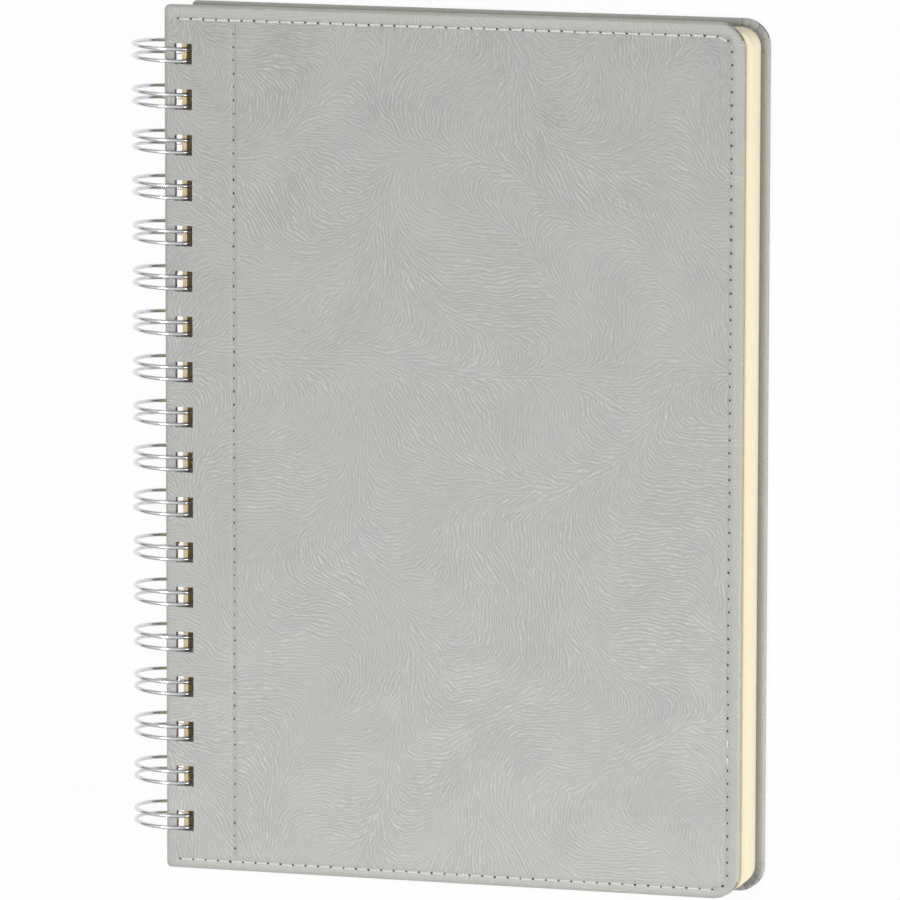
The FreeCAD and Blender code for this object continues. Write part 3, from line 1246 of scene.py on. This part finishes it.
    def build(self, material: bpy.types.Material) -> bpy.types.Object:
        """Make the wrap and let it stand for the cover's leather node.

        Args:
            material: the leather's finish.

        Returns:
            The wrap.
        """
        skin = self.wrap()
        pick(skin)
        bpy.ops.object.mode_set(mode="EDIT")
        bpy.ops.mesh.select_all(action="DESELECT")
        bpy.ops.mesh.select_non_manifold()
        bpy.ops.mesh.edge_face_add()
        bpy.ops.mesh.select_all(action="SELECT")
        bpy.ops.mesh.normals_make_consistent(inside=False)
        bpy.ops.object.mode_set(mode="OBJECT")
        _, inner_v, sign = self.levels()
        room = (self.leather, self.leather, self.leather + self.board, 1.0)
        window = (self.turn_in, -1.0, self.leather + 0.1, 0.0)
        for margin, start_depth, end_depth, radius in (room, window):
            near, far = sorted(inner_v + sign * depth for depth in (start_depth, end_depth))
            inset = Vector((margin, margin, 0))
            self.cut(skin, self.block(Vector((self.low.x, self.low.y, near)) + inset,
                                      Vector((self.high.x, self.high.y, far)) - inset, radius))
        self.cut(skin, self.hole_punch())
        self.cut(skin, self.groove_tool())
        skin = settle(skin, f"{self.seams.side.body}_wrap", self.stack, material, 38)
        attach(skin, self.seams.side.body)
        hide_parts(f"{self.seams.side.body}_leather")
        return skin


@dataclass
class Notebook:
    """The whole notebook: finishes on its CAD nodes and the pieces added to them."""

    frame: dict
    stack: StackFrame
    materials: dict = field(default_factory=dict)

    def make_materials(self) -> None:
        """Build every finish once."""
        tilt = self.stack.tilt
        finishes = {
            "board": PlainFinish("grey_board", linear(150, 146, 138), 0.9),
            "lining": PlainFinish("grey_lining", linear(176, 176, 172), 0.85),
            "pages": PageFinish("cream_pages", tilt),
            "wire": PlainFinish("plated_wire", linear(224, 226, 229), 0.2, 1.0, 0.02),
            "pale_thread": PlainFinish("pale_thread", linear(236, 236, 232), 0.6),
            "grey_thread": PlainFinish("grey_thread", linear(192, 194, 190), 0.6),
            # Painted shade: the dark colour for the insides of the needle holes.
            "needle": PlainFinish("needle_dark", linear(66, 66, 67), 0.9),
        }
        self.materials = {key: finish.build() for key, finish in finishes.items()}
        for side in Side:
            name = f"{side.body}_leather"
            low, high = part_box(name)
            finish = LeatherFinish(f"grey_{name}", high.x / MM, high.y / MM, -side.value)
            self.materials[name] = finish.build()

    def dress_nodes(self) -> None:
        """Give every CAD node its finish."""
        for name, node in self.frame["nodes"].items():
            key = name if name in self.materials else name.split("_")[-1]
            dress(node, self.materials.get(key, self.materials["pages"]))

    def add_covers(self) -> None:
        """Wrap and sew both covers."""
        for side in Side:
            low, high = self.stack.extent(self.frame["nodes"][f"{side.body}_leather"])
            seams = Stitching(
                stack=self.stack, side=side, spine_u=low.x, fore_u=high.x,
                half_height=(high.y - low.y) / 2,
                outer_v=high.z if side is Side.FRONT else low.z)
            wrap = LeatherSkin(
                stack=self.stack, seams=seams, low=low, high=high,
                hole_start=3.0 if side is Side.FRONT else 2.0,
                inner_roll=0.12 if side is Side.FRONT else 0.9)
            wrap.build(self.materials[f"{side.body}_leather"])
            seams.build_thread(True, self.materials["pale_thread"])
            seams.build_thread(False, self.materials["grey_thread"])
            seams.build_needle_holes(self.materials["needle"])

    def build(self) -> None:
        """Dress the nodes and add the pieces."""
        self.make_materials()
        self.dress_nodes()
        BindingWire(self.stack).build(self.materials["wire"])
        self.add_covers()


@dataclass(frozen=True)
class Studio:
    """A white floor, soft plain light and the photograph's camera."""

    target: tuple = (2.283, -0.239, 12.0)
    yaw: float = 0.2999
    pitch: float = 0.1587
    roll: float = 0.0018
    distance: float = 2540.0
    lens: float = 367.5
    sensor: float = 36.0
    ambient: float = 0.42
    horizon: float = 0.3
    floor_glow: float = 0.93
    window: tuple = ((-0.17, 0.18, 1.5), 0.4, 12.3)
    fill: tuple = ((1.25, -0.3, 0.32), 0.55, 7)

    def add_floor(self) -> None:
        """Lay a white floor that keeps a part of the notebook's shadow."""
        floor = add_object(bpy.ops.mesh.primitive_plane_add, size=6, location=(0, 0, 0))
        floor.name = "floor"
        graph = ShaderGraph("white_floor")
        graph.cover((0.9, 0.9, 0.9, 1.0), {"Roughness": 0.9})
        glow = graph.add("ShaderNodeEmission")
        glow.inputs["Strength"].default_value = 1.0
        glossy = graph.add("ShaderNodeLightPath").outputs["Is Glossy Ray"]
        seen = graph.math("MAXIMUM", graph.seen_straight(), glossy)
        mix = graph.add("ShaderNodeMixShader")
        graph.join(graph.math("MULTIPLY", seen, self.floor_glow), mix.inputs[0])
        graph.join(graph.surface.outputs[0], mix.inputs[1])
        graph.join(glow.outputs[0], mix.inputs[2])
        graph.join(mix.outputs[0], graph.output.inputs["Surface"])
        dress(floor, graph.material)

    def add_lamp(self, name: str, place: tuple, size: float, power: float) -> None:
        """Hang a square soft lamp that faces the notebook.

        Args:
            name: the lamp's name.
            place: where it hangs, in metres.
            size: its side, in metres.
            power: its power in watts.
        """
        lamp = add_object(bpy.ops.object.light_add, type="AREA", location=place)
        lamp.name = name
        lamp.data.size = size
        lamp.data.energy = power
        lamp.visible_camera = False
        lamp.rotation_mode = "QUATERNION"
        lamp.rotation_quaternion = (-Vector(place)).to_track_quat("-Z", "Y")

    def add_world(self) -> None:
        """Surround the scene with white, which metal sees bright overhead and dim at the side."""
        world = bpy.data.worlds.new("studio_white")
        bpy.context.scene.world = world
        world.use_nodes = True
        graph = NodeGraph(world.node_tree)
        back = graph.add("ShaderNodeBackground")
        output = graph.add("ShaderNodeOutputWorld")
        graph.join(back.outputs[0], output.inputs["Surface"])
        height = graph.axis(graph.add("ShaderNodeTexCoord").outputs["Generated"], "Z")
        mirrored = graph.spread(height, 0.1, 0.8, self.horizon, 1.0, True)
        glossy = graph.add("ShaderNodeLightPath").outputs["Is Glossy Ray"]
        unseen = graph.spread(glossy, 0, 1, self.ambient, mirrored)
        graph.join(graph.spread(graph.seen_straight(), 0, 1, unseen, 1.0),
                   back.inputs["Strength"])

    def add_camera(self) -> None:
        """Place the camera where the photograph was taken from."""
        back = Vector((math.sin(self.yaw) * math.cos(self.pitch), math.sin(self.pitch),
                       math.cos(self.yaw) * math.cos(self.pitch)))
        right = Vector((0, 1, 0)).cross(back).normalized()
        up = back.cross(right)
        camera = add_object(bpy.ops.object.camera_add)
        camera.name = "camera"
        turn = Matrix((right, up, back)).transposed() @ Matrix.Rotation(self.roll, 3, "Z")
        camera.rotation_mode = "QUATERNION"
        camera.rotation_quaternion = turn.to_quaternion()
        camera.location = (Vector(self.target) + back * self.distance) * MM
        camera.data.sensor_width = self.sensor
        camera.data.lens = self.lens
        camera.data.clip_end = 50.0
        bpy.context.scene.camera = camera

    def build(self) -> None:
        """Set up the floor, light, world and camera."""
        self.add_floor()
        self.add_lamp("window_lamp", *self.window)
        self.add_lamp("fill_lamp", *self.fill)
        self.add_world()
        self.add_camera()


def main() -> None:
    """Build the scene."""
    logging.basicConfig(level=logging.INFO)
    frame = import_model()
    scene = bpy.context.scene
    scene.view_settings.view_transform = "Standard"
    notebook = Notebook(frame, StackFrame.from_frame(frame))
    notebook.build()
    Studio().build()


if __name__ == "__main__":
    main()
